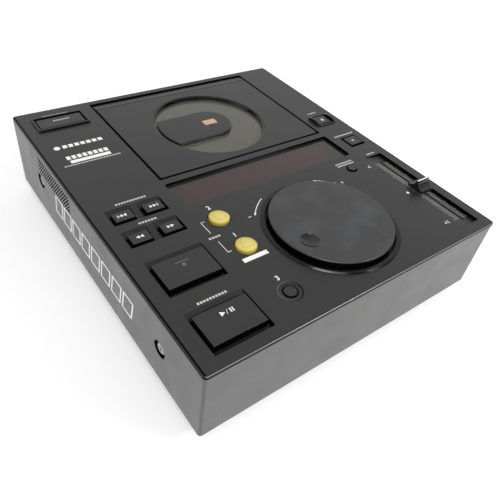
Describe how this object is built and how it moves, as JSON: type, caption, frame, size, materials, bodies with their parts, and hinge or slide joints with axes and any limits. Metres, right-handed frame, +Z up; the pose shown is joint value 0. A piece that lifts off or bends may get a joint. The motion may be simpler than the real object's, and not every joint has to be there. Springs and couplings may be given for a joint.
{
  "type": "tabletop disc player",
  "caption": "Tabletop disc player with a hinged lid over the disc bay, a jog dial, a tempo slider, rocking keys and push buttons on a sheet metal case.",
  "frame": {"origin": "centre of the footprint on the plane the feet stand on", "axes": "+X to the right seen from the front, +Y to the back, +Z up"},
  "size_m": [0.32, 0.36, 0.1],
  "materials": {
    "top_panel": "satin dark grey, glossy black edge",
    "case_wrap": "satin grey paint",
    "rear_panel": "satin black paint",
    "bottom_plate": "plain zinc plated sheet",
    "chassis_brackets": "plain zinc plated sheet",
    "feet": "black moulding",
    "foot_pads": "black rubber",
    "side_screws": "bright plated",
    "small_screws": "black oxide",
    "lid_plate": "satin dark grey",
    "lid_window": "smoked clear plastic",
    "clamp_cover": "satin dark grey",
    "lid_catch": "black moulding",
    "clamp_disc": "black moulding",
    "hinge_pins": "ground pin",
    "disc_well": "black moulding",
    "damper_bushes": "soft black rubber",
    "mech_deck": "plated sheet",
    "guide_rods": "ground rod",
    "spindle_motor": "drawn can",
    "turntable": "black moulding",
    "sled_gear": "natural acetal",
    "motor_pinion": "cut brass",
    "sled_motor": "drawn can",
    "pickup_sled": "black moulding",
    "pickup_lens": "coated lens",
    "latch_lever": "natural acetal",
    "latch_bracket": "plated sheet",
    "cue_key": "grey top, black sides",
    "play_key": "grey top, black sides",
    "track_back_key": "grey top, black sides",
    "track_forward_key": "grey top, black sides",
    "search_back_key": "grey top, black sides",
    "search_forward_key": "grey top, black sides",
    "key_rods": "drawn wire",
    "loop_in_button": "clear yellow",
    "loop_out_button": "clear yellow",
    "reloop_button": "grey moulding",
    "time_button": "grey moulding",
    "master_tempo_button": "grey top, black sides",
    "open_button": "grey moulding",
    "open_guard": "black moulding",
    "power_button": "grey moulding",
    "power_bezel": "black moulding",
    "power_switch": "black moulding on a plated plate",
    "jog_dial": "satin dark grey top, black side",
    "jog_shaft": "ground shaft, etched disc",
    "jog_bearing": "sintered bronze",
    "tempo_scale": "black moulding",
    "tempo_slider": "plated case",
    "tempo_knob": "black moulding",
    "display_window": "smoked clear plastic",
    "display_tube": "dark glass tube",
    "control_boards": "green circuit board",
    "key_switches": "black moulding",
    "main_board": "green circuit board with parts",
    "power_board": "brown circuit board with parts",
    "transformer": "varnished core and coil",
    "mains_inlet": "black moulding, plated pins",
    "rear_sockets": "plated sockets"
  },
  "bodies": {
    "case": {"top_panel": "top_panel", "case_wrap": "case_wrap", "rear_panel": "rear_panel", "bottom_plate": "bottom_plate", "chassis_brackets": "chassis_brackets", "feet": "feet", "foot_pads": "foot_pads", "side_screws": "side_screws", "small_screws": "small_screws", "hinge_pins": "hinge_pins", "disc_well": "disc_well", "damper_bushes": "damper_bushes", "mech_deck": "mech_deck", "guide_rods": "guide_rods", "spindle_motor": "spindle_motor", "sled_motor": "sled_motor", "latch_bracket": "latch_bracket", "key_rods": "key_rods", "open_guard": "open_guard", "power_bezel": "power_bezel", "power_switch": "power_switch", "jog_bearing": "jog_bearing", "tempo_scale": "tempo_scale", "tempo_slider": "tempo_slider", "display_window": "display_window", "display_tube": "display_tube", "control_boards": "control_boards", "key_switches": "key_switches", "main_board": "main_board", "power_board": "power_board", "transformer": "transformer", "mains_inlet": "mains_inlet", "rear_sockets": "rear_sockets"},
    "lid": {"lid_plate": "lid_plate", "lid_window": "lid_window", "clamp_cover": "clamp_cover", "lid_catch": "lid_catch"},
    "clamp": {"clamp_disc": "clamp_disc"},
    "spindle": {"turntable": "turntable"},
    "pickup": {"pickup_sled": "pickup_sled", "pickup_lens": "pickup_lens"},
    "sled_wheel": {"sled_gear": "sled_gear"},
    "drive_pinion": {"motor_pinion": "motor_pinion"},
    "latch": {"latch_lever": "latch_lever"},
    "jog": {"jog_dial": "jog_dial", "jog_shaft": "jog_shaft"},
    "tempo": {"tempo_knob": "tempo_knob"},
    "cue_rocker": {"cue_key": "cue_key"},
    "play_rocker": {"play_key": "play_key"},
    "track_back_rocker": {"track_back_key": "track_back_key"},
    "track_forward_rocker": {"track_forward_key": "track_forward_key"},
    "search_back_rocker": {"search_back_key": "search_back_key"},
    "search_forward_rocker": {"search_forward_key": "search_forward_key"},
    "loop_in_push": {"loop_in_button": "loop_in_button"},
    "loop_out_push": {"loop_out_button": "loop_out_button"},
    "reloop_push": {"reloop_button": "reloop_button"},
    "time_push": {"time_button": "time_button"},
    "master_tempo_push": {"master_tempo_button": "master_tempo_button"},
    "open_push": {"open_button": "open_button"},
    "power_push": {"power_button": "power_button"}
  },
  "joints": [
    {"name": "lid_hinge", "type": "hinge", "parent": "case", "child": "lid", "pos_m": [0.017, 0.1645, 0.0845], "axis": [-1, 0, 0], "range_deg": [0, 60]},
    {"name": "clamp_spin", "type": "hinge", "parent": "lid", "child": "clamp", "pos_m": [0.017, 0.0883, 0.082], "axis": [0, 0, 1], "continuous": true},
    {"name": "spindle_spin", "type": "hinge", "parent": "case", "child": "spindle", "pos_m": [0.017, 0.0883, 0.076], "axis": [0, 0, 1], "continuous": true},
    {"name": "pickup_slide", "type": "slide", "parent": "case", "child": "pickup", "axis": [1, 0, 0], "range_m": [0, 0.032]},
    {"name": "sled_wheel_spin", "type": "hinge", "parent": "case", "child": "sled_wheel", "pos_m": [0.06, 0.0618, 0.0575], "axis": [0, 0, 1], "range_deg": [-460, 0]},
    {"name": "drive_pinion_spin", "type": "hinge", "parent": "case", "child": "drive_pinion", "pos_m": [0.0745, 0.0618, 0.0575], "axis": [0, 0, 1], "range_deg": [0, 2205]},
    {"name": "jog_spin", "type": "hinge", "parent": "case", "child": "jog", "pos_m": [0.017, -0.1055, 0.09], "axis": [0, 0, 1], "continuous": true},
    {"name": "tempo_slide", "type": "slide", "parent": "case", "child": "tempo", "axis": [0, 1, 0], "range_m": [-0.048, 0.048]},
    {"name": "play_press", "type": "hinge", "parent": "case", "child": "play_rocker", "pos_m": [-0.11975, -0.132, 0.0805], "axis": [1, 0, 0], "range_deg": [0, 3], "stiffness_Nm_per_rad": 0.5, "springref_deg": -2.29},
    {"name": "cue_press", "type": "hinge", "parent": "case", "child": "cue_rocker", "pos_m": [-0.11975, -0.074, 0.0805], "axis": [1, 0, 0], "range_deg": [0, 3], "stiffness_Nm_per_rad": 0.5, "springref_deg": -2.29},
    {"name": "search_back_press", "type": "hinge", "parent": "case", "child": "search_back_rocker", "pos_m": [-0.13355, -0.0345, 0.0805], "axis": [1, 0, 0], "range_deg": [0, 4], "stiffness_Nm_per_rad": 0.12, "springref_deg": -3.44},
    {"name": "search_forward_press", "type": "hinge", "parent": "case", "child": "search_forward_rocker", "pos_m": [-0.10595, -0.0345, 0.0805], "axis": [1, 0, 0], "range_deg": [0, 4], "stiffness_Nm_per_rad": 0.12, "springref_deg": -3.44},
    {"name": "track_back_press", "type": "hinge", "parent": "case", "child": "track_back_rocker", "pos_m": [-0.13355, -0.0045, 0.0805], "axis": [1, 0, 0], "range_deg": [0, 4], "stiffness_Nm_per_rad": 0.12, "springref_deg": -3.44},
    {"name": "track_forward_press", "type": "hinge", "parent": "case", "child": "track_forward_rocker", "pos_m": [-0.10595, -0.0045, 0.0805], "axis": [1, 0, 0], "range_deg": [0, 4], "stiffness_Nm_per_rad": 0.12, "springref_deg": -3.44},
    {"name": "loop_in_press", "type": "slide", "parent": "case", "child": "loop_in_push", "axis": [0, 0, -1], "range_m": [0, 0.0015], "stiffness_N_per_m": 350, "springref_m": -0.001},
    {"name": "loop_out_press", "type": "slide", "parent": "case", "child": "loop_out_push", "axis": [0, 0, -1], "range_m": [0, 0.0015], "stiffness_N_per_m": 350, "springref_m": -0.001},
    {"name": "reloop_press", "type": "slide", "parent": "case", "child": "reloop_push", "axis": [0, 0, -1], "range_m": [0, 0.0015], "stiffness_N_per_m": 350, "springref_m": -0.001},
    {"name": "time_press", "type": "slide", "parent": "case", "child": "time_push", "axis": [0, 0, -1], "range_m": [0, 0.0015], "stiffness_N_per_m": 350, "springref_m": -0.001},
    {"name": "master_tempo_press", "type": "slide", "parent": "case", "child": "master_tempo_push", "axis": [0, 0, -1], "range_m": [0, 0.0015], "stiffness_N_per_m": 350, "springref_m": -0.001},
    {"name": "open_press", "type": "slide", "parent": "case", "child": "open_push", "axis": [0, 0, -1], "range_m": [0, 0.0025], "stiffness_N_per_m": 500, "springref_m": -0.001},
    {"name": "power_press", "type": "slide", "parent": "case", "child": "power_push", "axis": [0, 0, -1], "range_m": [0, 0.0025], "stiffness_N_per_m": 500, "springref_m": -0.001},
    {"name": "latch_turn", "type": "hinge", "parent": "case", "child": "latch", "pos_m": [0.123, 0.04, 0.066], "axis": [0, 1, 0], "range_deg": [0, 10.5]}
  ],
  "couplings": [
    {"joint": "clamp_spin", "follows": "spindle_spin", "ratio": 1},
    {"joint": "sled_wheel_spin", "follows": "pickup_slide", "rad_per_m": -250},
    {"joint": "drive_pinion_spin", "follows": "pickup_slide", "rad_per_m": 1200},
    {"joint": "latch_turn", "follows": "open_press", "rad_per_m": 71.429}
  ]
}
